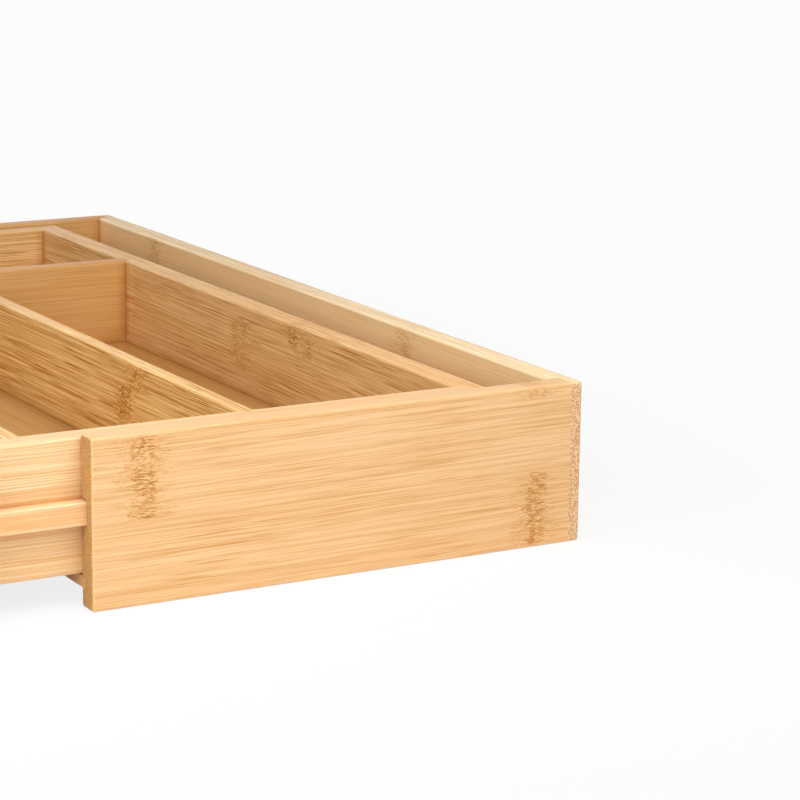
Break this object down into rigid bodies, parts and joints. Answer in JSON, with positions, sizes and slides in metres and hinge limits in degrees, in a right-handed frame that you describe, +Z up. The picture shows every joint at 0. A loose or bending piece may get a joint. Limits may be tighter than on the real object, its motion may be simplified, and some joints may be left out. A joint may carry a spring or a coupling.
{
  "type": "cutlery tray",
  "caption": "Expandable bamboo cutlery tray: an open core tray with long compartments and a wide one at the back, carried on rails by side wings that slide out.",
  "frame": {"origin": "on the table, under the middle of the tray, with each wing pulled out as in the picture", "axes": "+X across the tray to the right, the way the right wing slides out; +Y from the front to the back; +Z up"},
  "size_m": [0.4536, 0.4444, 0.0635],
  "materials": {
    "bamboo_wing": "smooth pale bamboo with fine fibre lines along each board, satin lacquer",
    "bamboo_core": "smooth pale bamboo, satin lacquer",
    "bamboo_divider": "side-pressed bamboo with strong fine lines, satin lacquer",
    "bamboo_floor": "thin bamboo board with fine lines from front to back, satin lacquer",
    "bamboo_rail": "planed bamboo strip, satin"
  },
  "bodies": {
    "core": {"core_front_panel": "bamboo_core", "core_back_panel": "bamboo_core", "core_left_wall": "bamboo_core", "core_right_wall": "bamboo_core", "core_floor": "bamboo_floor", "cross_divider": "bamboo_divider", "long_divider_1": "bamboo_divider", "long_divider_2": "bamboo_divider", "long_divider_3": "bamboo_divider", "front_rail": "bamboo_rail", "back_rail": "bamboo_rail"},
    "right_wing": {"right_wing_front_panel": "bamboo_wing", "right_wing_back_panel": "bamboo_wing", "right_wing_side_wall": "bamboo_wing", "right_wing_floor": "bamboo_floor"},
    "left_wing": {"left_wing_front_panel": "bamboo_wing", "left_wing_back_panel": "bamboo_wing", "left_wing_side_wall": "bamboo_wing", "left_wing_floor": "bamboo_floor"}
  },
  "joints": [
    {"name": "right_wing_slide", "type": "slide", "parent": "core", "child": "right_wing", "axis": [1, 0, 0], "range_m": [-0.02115, 0.0783]},
    {"name": "left_wing_slide", "type": "slide", "parent": "core", "child": "left_wing", "axis": [-1, 0, 0], "range_m": [-0.02115, 0.0783]}
  ]
}
